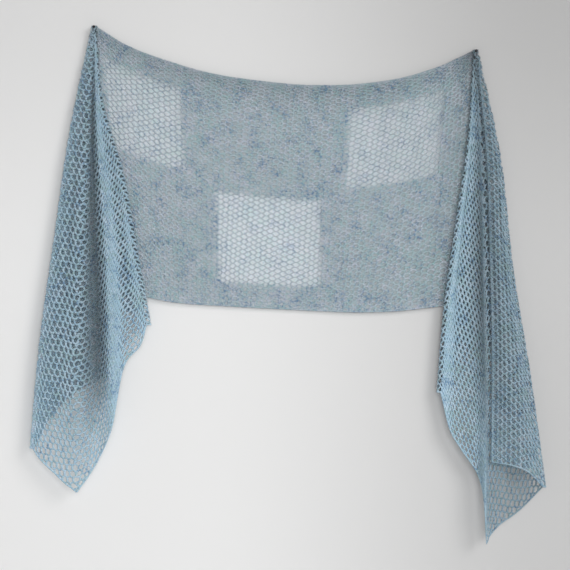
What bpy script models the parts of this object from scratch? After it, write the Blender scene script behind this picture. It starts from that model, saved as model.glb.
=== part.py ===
"""Rectangular knitted shawl, shown on a wall.

The shawl is one long rectangle of openwork knitting. Two pins hold it at two points of its
upper selvedge: the stretch between them hangs as a shallow swag, and the stretch beyond each
pin falls as a tail that folds back over itself four deep. Units are metres, +Z is up, the
wall is the plane y = 0 and the room is on the side of -Y. The origin is the middle of the
left pin's end face, where it meets the wall.
"""

import math
from collections import namedtuple

import bmesh
import bpy
from mathutils import Vector

MM = 0.001

CLOTH_WALL = 1.5 * MM
SEAM_GAP = 0.3 * MM
CLOTH_ABOVE_PIN = 3.5 * MM

PIN_SHAFT_RADIUS = 1.2 * MM
PIN_HEAD_RADIUS = 2.6 * MM
PIN_HEAD_DEPTH = 1.0 * MM
PIN_LENGTH = 23.0 * MM
PIN_CLEARANCE = 0.3 * MM
PIN_STEPS = 24
LEFT_PIN = Vector((0.0, 0.0, 0.0))
RIGHT_PIN = Vector((687.6 * MM, 0.0, -43.2 * MM))

ROWS_DOWN_TAIL = 20
ROW_CROWDING = 1.2
OPENING_OUT_POWER = 1.3
COLUMNS_PER_STRETCH = 2
STEPS_ROUND_TURN = 4
ROWS_DOWN_PANEL = 14
COLUMNS_ACROSS_PANEL = 34

LEFT = -1
RIGHT = 1

# A fold line runs from its pin to the hem. The four lengths after its name are how far it
# has gone to the right of the pin, at the pin, a quarter, a half and three quarters of the
# way down, and at the hem. Then come its drop from the pin, and how far it stands off the
# wall at the pin and at the hem. All are in millimetres.
Fold = namedtuple(
    "Fold", "name at_pin at_quarter at_half at_three_quarters at_hem drop pin_depth hem_depth"
)

# A layer is a stretch of cloth between two turns. It ends in a turn towards turn_side.
Layer = namedtuple("Layer", "folds turn_side")

LEFT_TAIL_LAYERS = (
    Layer(
        (
            Fold("seam to the panel", 5, 12, 22, 33, 43, 473, 4, 7),
            Fold("behind the tail", 1, 0, -1, -3, -4, 484, 4, 7),
            Fold("hidden outer turn", -5, -16, -28, -41, -53, 490, 4, 8),
        ),
        LEFT,
    ),
    Layer(
        (
            Fold("hidden outer turn", -5, -16, -28, -41, -53, 490, 7, 14),
            Fold("second layer middle", -1.7, -4, 8, 15, 20, 502, 7, 15),
            Fold("second layer edge", 0.2, 5, 32, 50, 65, 512, 7, 15),
            Fold("inner turn", 5, 16, 54, 79, 103, 536, 7, 15),
        ),
        RIGHT,
    ),
    Layer(
        (
            Fold("inner turn", 5, 16, 54, 79, 103, 536, 13, 31),
            Fold("beside the turn", 1.3, 10, 41, 64, 84, 573, 13, 35),
            Fold("inner hollow", 0.6, 8.2, 31, 45, 54, 613, 13, 33),
            Fold("ridge", 0, 6, 20, 29, 34, 720, 13, 47),
            Fold("valley", -0.8, -3, -1, 4, 7, 781, 13, 29),
            Fold("lowest corner", -1.4, -14, -22, -28, -28, 835, 13, 43),
            Fold("outer swell", -2.1, -25, -42, -56, -67, 801, 13, 44),
            Fold("near the outer turn", -2.8, -34, -57, -79, -94, 776, 13, 39),
            Fold("outer turn", -5, -44, -71, -97, -114, 757, 13, 34),
        ),
        LEFT,
    ),
    Layer(
        (
            Fold("outer turn", -5, -44, -71, -97, -114, 757, 10, 21),
            Fold("tucked end, outer part", -1.6, -30, -49, -68, -80, 704, 10, 20),
            Fold("tucked end, middle", 0.8, -14, -22, -30, -34, 656, 10, 21),
            Fold("free selvedge", 3.4, 4, 12, 22, 31, 626, 10, 21),
        ),
        None,
    ),
)

RIGHT_TAIL_LAYERS = (
    Layer(
        (
            Fold("seam to the panel", -5, -8, -12, -15, -18, 454, 4, 7),
            Fold("behind the tail", -1, 3, 7, 11, 14, 480, 4, 7),
            Fold("hidden outer turn", 5, 15, 25, 35, 45, 528, 4, 8),
        ),
        RIGHT,
    ),
    Layer(
        (
            Fold("hidden outer turn", 5, 15, 25, 35, 45, 528, 7, 14),
            Fold("second layer middle", 1.5, 2, -6, -12, -17, 534, 7, 15),
            Fold("second layer edge", -0.8, -5, -22, -37, -46, 572, 7, 15),
            Fold("inner turn", -5, -14, -36, -58, -71, 614, 7, 15),
        ),
        LEFT,
    ),
    Layer(
        (
            Fold("inner turn", -5, -14, -36, -58, -71, 614, 10, 29),
            Fold("beside the turn", -2.4, -8, -26, -43, -48, 680, 10, 34),
            Fold("inner swell", -1.6, -4, -16, -27, -27, 717, 10, 36),
            Fold("before the ridge", -0.8, 1, -3, -4, 2, 762, 10, 37),
            Fold("ridge", -0.1, 7, 10, 12, 12, 815, 10, 50),
            Fold("lowest corner", 0.5, 11, 14.5, 16, 16, 884, 10, 44),
            Fold("behind the ridge", 1.1, 15, 20, 22, 23, 872, 10, 29),
            Fold("under the flap", 1.7, 24, 34, 40, 41, 852, 10, 26),
            Fold("under the flap, outer part", 2.3, 34, 50, 67, 77, 826, 10, 24),
            Fold("outer turn", 5, 45, 66, 97, 124, 783, 10, 26),
        ),
        RIGHT,
    ),
    Layer(
        (
            Fold("outer turn", 5, 45, 66, 97, 124, 783, 14, 36),
            Fold("flap, outer part", 1.2, 35, 51, 72, 90, 755, 14, 42),
            Fold("flap, inner part", -1, 27, 39, 50, 57, 743, 14, 41),
            Fold("free selvedge", -3.2, 19.5, 27, 31, 27, 739, 14, 37),
        ),
        None,
    ),
)

# The panel's upper and lower edges: how far along from the left pin, and how far below it.
EdgePoint = namedtuple("EdgePoint", "along below")

PANEL_UPPER_EDGE = (
    EdgePoint(59, 31),
    EdgePoint(126, 57),
    EdgePoint(223, 84),
    EdgePoint(344, 100),
    EdgePoint(409, 103),
    EdgePoint(475, 101),
    EdgePoint(553, 91),
    EdgePoint(620, 75),
    EdgePoint(656, 63),
)
PANEL_LOWER_EDGE = (
    EdgePoint(92, 485),
    EdgePoint(151, 496),
    EdgePoint(241, 502),
    EdgePoint(349, 508),
    EdgePoint(412, 511),
    EdgePoint(472, 513),
    EdgePoint(545, 511),
    EdgePoint(608, 504),
)

# Shallow drapes of the panel, each a soft wave that leans in from a pin: where it crosses the
# upper and the lower edge as a share of the width, its half width as a share, and its height.
Drape = namedtuple("Drape", "upper_share lower_share half_width height")

PANEL_DRAPES = (
    Drape(0.03, 0.16, 0.060, 3.0),
    Drape(0.05, 0.31, 0.070, 2.2),
    Drape(0.22, 0.52, 0.100, -1.2),
    Drape(0.62, 0.60, 0.090, 1.4),
    Drape(0.90, 0.74, 0.070, 1.8),
    Drape(0.96, 0.88, 0.050, 3.0),
)
PANEL_MIDDLE_DEPTH = 8.5


def clear_scene():
    """Remove what the scene starts with."""
    for thing in list(bpy.data.objects):
        bpy.data.objects.remove(thing, do_unlink=True)


def new_collection(name):
    """Make a collection under the scene's own."""
    collection = bpy.data.collections.new(name)
    bpy.context.scene.collection.children.link(collection)
    return collection


def new_material(name, colour, roughness, metallic):
    """Make a plain surface finish."""
    material = bpy.data.materials.new(name)
    material.use_nodes = True
    surface = material.node_tree.nodes["Principled BSDF"]
    surface.inputs["Base Color"].default_value = (*colour, 1.0)
    surface.inputs["Roughness"].default_value = roughness
    surface.inputs["Metallic"].default_value = metallic
    return material


def spline_through(points, place):
    """Read a smooth curve that passes through all the points, at place 0 to len - 1."""
    last = len(points) - 1
    index = min(int(place), last - 1)
    share = place - index
    here = points[index]
    after = points[index + 1]
    before = points[index - 1] if index > 0 else here * 2 - after
    beyond = points[index + 2] if index + 2 <= last else after * 2 - here
    start_slope = (after - before) * 0.5
    end_slope = (beyond - here) * 0.5
    square = share * share
    cube = square * share
    return (
        here * (2 * cube - 3 * square + 1)
        + start_slope * (cube - 2 * square + share)
        + after * (3 * square - 2 * cube)
        + end_slope * (cube - square)
    )


def fold_point(fold, pin, share):
    """Find the point of a fold line at a share of its way down, 0 at the top, 1 at the hem."""
    stations = (
        fold.at_pin,
        fold.at_quarter,
        fold.at_half,
        fold.at_three_quarters,
        fold.at_hem,
    )
    along = spline_through(stations, share * (len(stations) - 1))
    fall = CLOTH_ABOVE_PIN - share * (fold.drop * MM + CLOTH_ABOVE_PIN)
    opening_out = math.sin(share * math.pi / 2) ** OPENING_OUT_POWER
    depth = fold.pin_depth + (fold.hem_depth - fold.pin_depth) * opening_out
    return pin + Vector((along * MM, -depth * MM, fall))


def turn_points(back, front, side):
    """Round the turn from the end of one layer to the start of the next."""
    radius = (back - front).length / 2
    middle = (back + front) / 2
    to_front = (front - back) / 2
    points = []
    for step in range(1, STEPS_ROUND_TURN):
        angle = math.pi * step / STEPS_ROUND_TURN
        outward = Vector((side * radius * math.sin(angle), 0.0, 0.0))
        points.append(middle - to_front * math.cos(angle) + outward)
    return points


def layer_controls(layers, index, pin, share):
    """List a layer's fold points, pulled in at its turns so that the turn ends on the fold."""
    layer = layers[index]
    points = [fold_point(fold, pin, share) for fold in layer.folds]
    if layer.turn_side is not None:
        front = fold_point(layers[index + 1].folds[0], pin, share)
        points[-1].x -= layer.turn_side * (points[-1] - front).length / 2
    if index > 0:
        side = layers[index - 1].turn_side
        back = fold_point(layers[index - 1].folds[-1], pin, share)
        points[0].x -= side * (points[0] - back).length / 2
    return points


def tail_section(layers, pin, share):
    """Work out one section across all the layers of a tail, from the panel to the selvedge."""
    section = []
    for index, layer in enumerate(layers):
        controls = layer_controls(layers, index, pin, share)
        steps = (len(controls) - 1) * COLUMNS_PER_STRETCH
        for step in range(steps + 1):
            section.append(spline_through(controls, step / COLUMNS_PER_STRETCH))
        if layer.turn_side is not None:
            following = layer_controls(layers, index + 1, pin, share)
            section.extend(turn_points(section[-1], following[0], layer.turn_side))
    return section


def tail_sections(layers, pin):
    """List a tail's sections from its pin to its hem, closer together near the pin."""
    sections = []
    for row in range(ROWS_DOWN_TAIL + 1):
        share = (row / ROWS_DOWN_TAIL) ** ROW_CROWDING
        sections.append(tail_section(layers, pin, share))
    return sections


def drape_height(drape, across, down):
    """Height of one soft wave of the panel at a place on it."""
    centre = drape.upper_share + (drape.lower_share - drape.upper_share) * down
    off_centre = (across - centre) / drape.half_width
    return drape.height * math.exp(-off_centre * off_centre) * math.sin(math.pi * down ** 0.7 * 0.8)


def panel_depth(across, down, edge_depth):
    """How far the panel stands off the wall, in millimetres."""
    belly = math.sin(math.pi * across)
    waves = sum(drape_height(drape, across, down) for drape in PANEL_DRAPES)
    free = min(1.0, belly * 3.0)
    return edge_depth + (PANEL_MIDDLE_DEPTH - edge_depth) * free + waves * free


def panel_point(across, down):
    """Find a point of the panel, from its four edges."""
    left_seam = LEFT_TAIL_LAYERS[0].folds[0]
    right_seam = RIGHT_TAIL_LAYERS[0].folds[0]
    gap = Vector((SEAM_GAP, 0.0, 0.0))

    def left_edge(share):
        return fold_point(left_seam, LEFT_PIN, share) + gap

    def right_edge(share):
        return fold_point(right_seam, RIGHT_PIN, share) - gap

    def long_edge(stations, share):
        points = [left_edge(share)]
        for station in stations:
            points.append(Vector((station.along * MM, 0.0, -station.below * MM)))
        points.append(right_edge(share))
        return spline_through(points, across * (len(points) - 1))

    upper = long_edge(PANEL_UPPER_EDGE, 0.0)
    lower = long_edge(PANEL_LOWER_EDGE, 1.0)
    left = left_edge(down) - left_edge(0.0).lerp(left_edge(1.0), down)
    right = right_edge(down) - right_edge(0.0).lerp(right_edge(1.0), down)
    point = upper.lerp(lower, down) + left * (1 - across) + right * across
    edge_depth = -left_edge(down).lerp(right_edge(down), across).y / MM
    point.y = -panel_depth(across, down, edge_depth) * MM
    return point


def panel_sections():
    """List the panel's sections from its upper selvedge to its lower one."""
    sections = []
    for row in range(ROWS_DOWN_PANEL + 1):
        down = row / ROWS_DOWN_PANEL
        section = []
        for column in range(COLUMNS_ACROSS_PANEL + 1):
            section.append(panel_point(column / COLUMNS_ACROSS_PANEL, down))
        sections.append(section)
    return sections


def cloth_object(name, sections, material, collection):
    """Loft a wall of cloth through its sections, which all have as many points."""
    bm = bmesh.new()
    rows = [[bm.verts.new(point) for point in section] for section in sections]
    for upper, lower in zip(rows, rows[1:]):
        for column in range(len(upper) - 1):
            bm.faces.new(
                (upper[column], lower[column], lower[column + 1], upper[column + 1])
            )
    bmesh.ops.recalc_face_normals(bm, faces=bm.faces)
    mesh = bpy.data.meshes.new(name)
    bm.to_mesh(mesh)
    bm.free()
    mesh.shade_smooth()
    mesh.materials.append(material)
    cloth = bpy.data.objects.new(name, mesh)
    collection.objects.link(cloth)
    wall = cloth.modifiers.new("Cloth wall", "SOLIDIFY")
    wall.thickness = CLOTH_WALL
    wall.offset = 0.0
    return cloth


def turned_object(name, profile, place, collection):
    """Turn a profile round the line that runs out from the wall at a place."""
    mesh = bpy.data.meshes.new(name)
    edges = [(index, index + 1) for index in range(len(profile) - 1)]
    mesh.from_pydata([(radius, 0.0, out) for radius, out in profile], edges, [])
    turned = bpy.data.objects.new(name, mesh)
    turned.location = place
    turned.rotation_euler.x = math.pi / 2
    collection.objects.link(turned)
    screw = turned.modifiers.new("Turn", "SCREW")
    screw.steps = PIN_STEPS
    screw.render_steps = PIN_STEPS
    screw.use_merge_vertices = True
    screw.merge_threshold = 0.00001
    return turned


def pin_object(name, place, material, collection):
    """Make a plain wall pin: a round shaft with a flat head."""
    neck = PIN_LENGTH - PIN_HEAD_DEPTH
    profile = (
        (0.0, PIN_LENGTH),
        (PIN_HEAD_RADIUS * 0.8, PIN_LENGTH),
        (PIN_HEAD_RADIUS, PIN_LENGTH - PIN_HEAD_DEPTH * 0.4),
        (PIN_HEAD_RADIUS, neck),
        (PIN_SHAFT_RADIUS, neck),
        (PIN_SHAFT_RADIUS, 0.0),
        (0.0, 0.0),
    )
    pin = turned_object(name, profile, place, collection)
    pin.data.materials.append(material)
    return pin


def pierce(cloth, place, cutters):
    """Cut the pin's way through every layer of a tail."""
    radius = PIN_SHAFT_RADIUS + PIN_CLEARANCE
    near_wall = -1.0 * MM
    profile = ((0.0, PIN_LENGTH), (radius, PIN_LENGTH), (radius, near_wall), (0.0, near_wall))
    cutter = turned_object(cloth.name + "_pin_way", profile, place, cutters)
    cutter.hide_render = True
    cutter.display_type = "WIRE"
    cut = cloth.modifiers.new("Pin way", "BOOLEAN")
    cut.operation = "DIFFERENCE"
    cut.object = cutter


def build():
    """Build the shawl and its two pins."""
    clear_scene()
    shawl = new_collection("rectangular_shawl")
    cutters = new_collection("cutters")
    yarn = new_material("Heathered blue yarn", (0.33, 0.44, 0.52), 0.9, 0.0)
    steel = new_material("Dark pin steel", (0.06, 0.06, 0.065), 0.4, 0.9)

    cloth_object("centre_panel", panel_sections(), yarn, shawl)
    left_tail = cloth_object("left_tail", tail_sections(LEFT_TAIL_LAYERS, LEFT_PIN), yarn, shawl)
    right_tail = cloth_object(
        "right_tail", tail_sections(RIGHT_TAIL_LAYERS, RIGHT_PIN), yarn, shawl
    )
    pierce(left_tail, LEFT_PIN, cutters)
    pierce(right_tail, RIGHT_PIN, cutters)
    pin_object("left_pin", LEFT_PIN, steel, shawl)
    pin_object("right_pin", RIGHT_PIN, steel, shawl)


build()
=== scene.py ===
"""Knitted net, yarn, pins and wall for a rectangular shawl that hangs on two pins.

The shawl's three stretches are knitted here as real strands: wavy rows of yarn that touch their
neighbours at every crest, so that the holes between them stand in a staggered lattice. Each row
is laid out on the flat rectangle first, and then carried to the hanging form.
"""

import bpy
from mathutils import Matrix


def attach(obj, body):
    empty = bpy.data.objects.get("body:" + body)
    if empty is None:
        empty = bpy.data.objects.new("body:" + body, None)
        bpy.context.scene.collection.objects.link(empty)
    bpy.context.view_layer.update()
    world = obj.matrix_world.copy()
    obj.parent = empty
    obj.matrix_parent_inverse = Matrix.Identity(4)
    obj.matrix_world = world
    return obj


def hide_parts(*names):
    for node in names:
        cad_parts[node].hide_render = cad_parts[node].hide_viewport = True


bl_info = {
    "name": "Rectangular Net Shawl",
    "version": (1, 0, 0),
    "blender": (4, 5, 0),
    "location": "3D View > Sidebar > Shawl",
    "description": "Knits a rectangular net shawl on two wall pins and sets it in soft light",
    "category": "Object",
}

import math
from collections import namedtuple

import bpy
import numpy as np
from bpy.props import FloatProperty, FloatVectorProperty, IntProperty, PointerProperty
from mathutils import Vector

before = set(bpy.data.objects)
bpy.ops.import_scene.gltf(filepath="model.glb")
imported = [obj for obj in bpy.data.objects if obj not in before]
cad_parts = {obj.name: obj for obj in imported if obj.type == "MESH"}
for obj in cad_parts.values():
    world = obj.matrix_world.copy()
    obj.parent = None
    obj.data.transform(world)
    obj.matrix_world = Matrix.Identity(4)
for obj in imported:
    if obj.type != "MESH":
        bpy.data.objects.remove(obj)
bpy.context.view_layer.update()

MM = 0.001
BODY = "root"

LEFT = -1
RIGHT = 1
CLOTH_ABOVE_PIN = 3.5
OPENING_OUT_POWER = 1.3
LEFT_PIN = (0.0, 0.0, 0.0)
RIGHT_PIN = (687.6, 0.0, -43.2)

# A fold line runs from its pin to the hem. The four lengths after its name are how far it
# has gone to the right of the pin, at the pin, a quarter, a half and three quarters of the
# way down, and at the hem. Then come its drop from the pin, and how far it stands off the
# wall at the pin and at the hem. All are in millimetres.
Fold = namedtuple(
    "Fold", "name at_pin at_quarter at_half at_three_quarters at_hem drop pin_depth hem_depth"
)
Layer = namedtuple("Layer", "folds turn_side")

LEFT_TAIL_LAYERS = (
    Layer(
        (
            Fold("seam to the panel", 5, 12, 22, 33, 43, 473, 4, 7),
            Fold("behind the tail", 1, 0, -1, -3, -4, 484, 4, 7),
            Fold("hidden outer turn", -5, -16, -28, -41, -53, 490, 4, 8),
        ),
        LEFT,
    ),
    Layer(
        (
            Fold("hidden outer turn", -5, -16, -28, -41, -53, 490, 7, 14),
            Fold("second layer middle", -1.7, -4, 8, 15, 20, 502, 7, 15),
            Fold("second layer edge", 0.2, 5, 32, 50, 65, 512, 7, 15),
            Fold("inner turn", 5, 16, 54, 79, 103, 536, 7, 15),
        ),
        RIGHT,
    ),
    Layer(
        (
            Fold("inner turn", 5, 16, 54, 79, 103, 536, 13, 31),
            Fold("beside the turn", 1.3, 10, 41, 64, 84, 573, 13, 35),
            Fold("inner hollow", 0.6, 8.2, 31, 45, 54, 613, 13, 33),
            Fold("ridge", 0, 6, 20, 29, 34, 720, 13, 47),
            Fold("valley", -0.8, -3, -1, 4, 7, 781, 13, 29),
            Fold("lowest corner", -1.4, -14, -22, -28, -28, 835, 13, 43),
            Fold("outer swell", -2.1, -25, -42, -56, -67, 801, 13, 44),
            Fold("near the outer turn", -2.8, -34, -57, -79, -94, 776, 13, 39),
            Fold("outer turn", -5, -44, -71, -97, -114, 757, 13, 34),
        ),
        LEFT,
    ),
    Layer(
        (
            Fold("outer turn", -5, -44, -71, -97, -114, 757, 10, 21),
            Fold("tucked end, outer part", -1.6, -30, -49, -68, -80, 704, 10, 20),
            Fold("tucked end, middle", 0.8, -14, -22, -30, -34, 656, 10, 21),
            Fold("free selvedge", 3.4, 4, 12, 22, 31, 626, 10, 21),
        ),
        None,
    ),
)

RIGHT_TAIL_LAYERS = (
    Layer(
        (
            Fold("seam to the panel", -5, -8, -12, -15, -18, 454, 4, 7),
            Fold("behind the tail", -1, 3, 7, 11, 14, 480, 4, 7),
            Fold("hidden outer turn", 5, 15, 25, 35, 45, 528, 4, 8),
        ),
        RIGHT,
    ),
    Layer(
        (
            Fold("hidden outer turn", 5, 15, 25, 35, 45, 528, 7, 14),
            Fold("second layer middle", 1.5, 2, -6, -12, -17, 534, 7, 15),
            Fold("second layer edge", -0.8, -5, -22, -37, -46, 572, 7, 15),
            Fold("inner turn", -5, -14, -36, -58, -71, 614, 7, 15),
        ),
        LEFT,
    ),
    Layer(
        (
            Fold("inner turn", -5, -14, -36, -58, -71, 614, 10, 29),
            Fold("beside the turn", -2.4, -8, -26, -43, -48, 680, 10, 34),
            Fold("inner swell", -1.6, -4, -16, -27, -27, 717, 10, 36),
            Fold("before the ridge", -0.8, 1, -3, -4, 2, 762, 10, 37),
            Fold("ridge", -0.1, 7, 10, 12, 12, 815, 10, 50),
            Fold("lowest corner", 0.5, 11, 14.5, 16, 16, 884, 10, 44),
            Fold("behind the ridge", 1.1, 15, 20, 22, 23, 872, 10, 29),
            Fold("under the flap", 1.7, 24, 34, 40, 41, 852, 10, 26),
            Fold("under the flap, outer part", 2.3, 34, 50, 67, 77, 826, 10, 24),
            Fold("outer turn", 5, 45, 66, 97, 124, 783, 10, 26),
        ),
        RIGHT,
    ),
    Layer(
        (
            Fold("outer turn", 5, 45, 66, 97, 124, 783, 14, 36),
            Fold("flap, outer part", 1.2, 35, 51, 72, 90, 755, 14, 42),
            Fold("flap, inner part", -1, 27, 39, 50, 57, 743, 14, 41),
            Fold("free selvedge", -3.2, 16.5, 23, 26, 24, 739, 14, 33),
        ),
        None,
    ),
)

# A crease runs down one layer of a tail. Its layer and its station count from 0, and a
# station is the place of a fold line in the layer. It lies from one share of the way down
# to another. Its height is in millimetres, into the room if positive.
Crease = namedtuple("Crease", "layer station half_width start end height")

# Painted light and shade on each layer's yarn: the yarn's tone at the first and the last fold line
# of each layer, and how the tone changes at the pin and at the hem. Painted shade darkens the
# layers inside the folds, where less light gets, and the gathered cloth at the pin. Painted light
# makes the yarn paler towards the hem, where the wall shines through it. The last columns are how
# much of the layer the loose fibres cover, and how much of it they cover at the hem: the hidden
# layers lie crumpled and close, and their dark fibres are also painted shade that fills their
# holes.
LayerShading = namedtuple("LayerShading", "start end at_pin at_hem haze hem_haze")

LEFT_TAIL_SHADING = (
    LayerShading(0.44, 0.40, 0.72, 2.6, 0.62, 0.0),
    LayerShading(0.30, 0.30, 0.72, 3.8, 0.62, 0.0),
    LayerShading(1.04, 1.12, 0.72, 1.2, 0.05, 0.0),
    LayerShading(1.25, 0.26, 0.72, 1.1, 0.50, 0.5),
)
RIGHT_TAIL_SHADING = (
    LayerShading(0.42, 0.36, 0.50, 1.3, 0.62, 0.2),
    LayerShading(0.30, 0.30, 0.50, 1.3, 0.62, 0.2),
    LayerShading(1.20, 0.62, 0.38, 1.1, 0.05, 0.0),
    LayerShading(0.84, 0.82, 0.52, 1.16, 0.14, 0.14),
)
# Painted shade in a crease's trough, for each millimetre of its depth.
VALLEY_PAINTED_SHADE_PER_MM = 0.074

LEFT_TAIL_CREASES = (
    Crease(0, 0.7, 0.30, 0.30, 0.90, 1.2),
    Crease(0, 1.4, 0.22, 0.15, 0.75, -1.0),
    Crease(1, 0.6, 0.25, 0.20, 0.80, -1.6),
    Crease(1, 1.3, 0.50, 0.10, 0.90, -4.5),
    Crease(1, 2.4, 0.20, 0.30, 0.85, -1.4),
    Crease(2, 0.9, 0.30, 0.22, 0.72, -1.8),
    Crease(2, 1.9, 0.26, 0.40, 0.97, 1.6),
    Crease(2, 3.0, 0.45, 0.10, 0.90, 4.0),
    Crease(2, 4.1, 0.50, 0.06, 0.92, -9.0),
    Crease(2, 3.85, 0.60, 0.50, 0.90, -4.5),
    Crease(2, 5.3, 0.28, 0.30, 0.80, 1.8),
    Crease(2, 6.1, 0.24, 0.18, 0.66, -2.6),
    Crease(2, 6.9, 0.32, 0.45, 0.98, 2.0),
    Crease(2, 7.5, 0.16, 0.25, 0.60, -1.4),
    Crease(3, 0.8, 0.26, 0.25, 0.85, -1.5),
    Crease(3, 1.6, 0.30, 0.40, 0.95, 1.7),
    Crease(3, 2.4, 0.18, 0.20, 0.70, -1.2),
)
RIGHT_TAIL_CREASES = (
    Crease(0, 0.8, 0.25, 0.25, 0.85, 1.1),
    Crease(0, 1.5, 0.20, 0.20, 0.70, -0.9),
    Crease(1, 0.7, 0.28, 0.30, 0.90, 1.5),
    Crease(1, 1.6, 0.22, 0.15, 0.75, -1.7),
    Crease(1, 2.5, 0.18, 0.40, 0.92, 1.2),
    Crease(2, 0.8, 0.30, 0.20, 0.75, -2.0),
    Crease(2, 1.7, 0.22, 0.35, 0.95, 1.5),
    Crease(2, 2.6, 0.28, 0.15, 0.60, -1.6),
    Crease(2, 4.0, 1.10, 0.12, 0.90, -9.0),
    Crease(2, 6.6, 0.25, 0.45, 0.98, 1.8),
    Crease(2, 7.6, 0.22, 0.55, 0.99, -2.2),
    Crease(3, 0.6, 0.24, 0.30, 0.95, 2.2),
    Crease(3, 1.3, 0.20, 0.20, 0.70, -2.0),
    Crease(3, 2.1, 0.26, 0.35, 0.90, 1.6),
    Crease(3, 2.9, 0.60, 0.06, 0.97, -3.0),
)

# Points of the panel's long edges, in millimetres to the right of the left pin and below it.
# The upper edge lies up to 9 mm higher beside the right pin than in the solid.
EdgePoint = namedtuple("EdgePoint", "along below")

PANEL_UPPER_EDGE = (
    EdgePoint(59, 31),
    EdgePoint(126, 57),
    EdgePoint(223, 84),
    EdgePoint(344, 100),
    EdgePoint(409, 103),
    EdgePoint(475, 101),
    EdgePoint(553, 90),
    EdgePoint(620, 70),
    EdgePoint(656, 54),
)
PANEL_LOWER_EDGE = (
    EdgePoint(92, 485),
    EdgePoint(151, 496),
    EdgePoint(241, 502),
    EdgePoint(349, 508),
    EdgePoint(412, 511),
    EdgePoint(472, 513),
    EdgePoint(545, 511),
    EdgePoint(608, 504),
)
Drape = namedtuple("Drape", "upper_share lower_share half_width height")

# The panel's soft drapes run from a share of its length at the upper edge to one at the lower.
PANEL_DRAPES = (
    Drape(0.03, 0.16, 0.060, 3.0),
    Drape(0.05, 0.31, 0.070, 2.2),
    Drape(0.22, 0.52, 0.100, -1.2),
    Drape(0.62, 0.60, 0.090, 1.4),
    Drape(0.90, 0.74, 0.070, 1.8),
    Drape(0.96, 0.88, 0.050, 3.0),
)
PANEL_MIDDLE_DEPTH = 8.5
PANEL_SEAM_BLEND = 3.0
DRAPE_REACH = 0.8
DRAPE_POWER = 0.7
CREASE_POWER = 0.7

# The panel's net goes this far on under each tail, which closes the gap between the solids.
PANEL_OVERLAP = 2.5
PANEL_LIFT = 1.2

# The panel's rows crowd together in a band along its upper edge, and start a little below it.
UPPER_BAND_SHARE = 0.08
UPPER_BAND_CROWDING = 0.75
UPPER_EDGE_INSET = 0.006

# The three sheer squares, on the flat shawl: from the left pin along, and from the upper
# selvedge down, in millimetres.
Square = namedtuple("Square", "start end upper lower density")

SHEER_SQUARES = (
    Square(11, 150, 52, 186, 0.22),
    Square(220, 416, 214, 360, 0.08),
    Square(453, 626, 58, 195, 0.12),
)
SQUARE_EDGE_SOFTNESS = 2.0

# The cloth hangs a little off the straight, so the squares' sides lean by this share.
SQUARE_LEAN = 0.07

# Where the yarn is shaped between one column of holes and the next.
STOPS_IN_A_HOLE = (0.0, 0.33, 0.5, 0.67)
EDGE_STEPS_PER_STITCH = 4

# How many fold lines away from a tail's lowest corner the cloth is pulled straight.
CORNER_REACH = 0.8

# The tails' stitches crowd together towards the pin, where the cloth is gathered, and open
# out towards the hem.
PIN_CROWDING = 1.06

# The share of the way from the pin at which half of a tail's cloth is inside.
TAIL_SPLIT = 0.707

# A tail's yarn is a little wide, and pulled thin by a share of its width near the hem.
TAIL_FULLNESS = 1.05
HEM_THINNING = 0.28
HEM_THINNING_START = 0.74
HEM_THINNING_REACH = 0.2

# Shares of the way down a tail where its painted light, its loose fibres and its pointed corner
# start to change towards the hem, and over how much of the way the painted shade at the pin fades.
HEM_PAINTED_LIGHT_START = 3 / 4
HAZE_THINS_FROM = 7 / 8
CORNER_START = 5 / 6
PIN_PAINTED_SHADE_REACH = 0.24
# How fast the painted shade of one layer gives way to the next layer's round a turn.
TURN_PAINTED_SHADE_POWER = 0.35

# Painted shade darkens the band along the upper edge, where the cloth bunches up, over this width
# in metres. Painted shadow from the right tail darkens the end beside the right pin too, and less
# so further down.
BAND_PAINTED_SHADE = 0.28
BAND_WIDTH = 0.048
END_PAINTED_SHADOW = 0.36
END_WIDTH = 0.05
END_FADE = 0.6

# Painted light: how much paler the loose fibres are in the squares, where the wall shines through.
SHEER_HAZE_PAINTED_LIGHT = 0.6

# Hand knitting is uneven in these ways, each with its own pitch along a row, in metres: the rows
# drift, the yarn swells and the stitches shift. The rows' places are also a little ragged.
DRIFT_PITCH = 0.11
DRIFT_SHARE = 0.5
SWELL_PITCH = 0.037
SWELL_SEED = 500
SHIFT_PITCH = 0.083
SHIFT_SEED = 900
RAGGED_SHARE = 0.3
RAGGED_SEED = 1300
NOISE_SHARES = (1.0, 0.47, 0.23)
NOISE_SCALE = 1.7

# The single yarn of the squares has rounder crests than the doubled yarn, by this share.
SHEER_ROUNDING = 0.4

# The tails' rows get shorter towards the pin. Rows with fewer stops than this are left out.
FEWEST_STOPS = 5
MOST_HOLES = 200

# Rows and edge stitches stay this far inside the flat shawl's edges, in metres. A tail's upper
# edge stitch lies deeper, and starts a little way from the pin.
ROW_MARGIN = 0.0005
EDGE_INSET = 0.0006
TAIL_UPPER_EDGE = 0.004
TAIL_EDGE_START = 0.012
EDGE_STEPS_PER_METRE = 740
PANEL_EDGE_STEPS = 500
EDGE_SWELL = 0.22
EDGE_FLATNESS = 0.6

# Colours and sizes that belong to one yarn only.
FLECK_SIZE = 230.0
HAZE_FLECK_SIZE = 260.0
SHEER_MAIN = (0.46, 0.53, 0.59)
SHEER_COOL_FLECK = (0.41, 0.52, 0.55)
SHEER_WARM_FLECK = (0.57, 0.60, 0.66)
TAIL_WARM_FLECK = (0.44, 0.57, 0.68)
TAIL_COOL_SHARE = 0.85
TWIST_PITCH = 0.00045
TWIST_SLANT = 1.6
PLY_SHARE = 0.3
CLOUD_SHARE = 0.55
HAZE_PALENESS = 1.15
HAZE_FLECK_PALENESS = 1.1
FIBRE_HALF_WIDTH = 0.075
PIN_GLINT = 1.8

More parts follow.
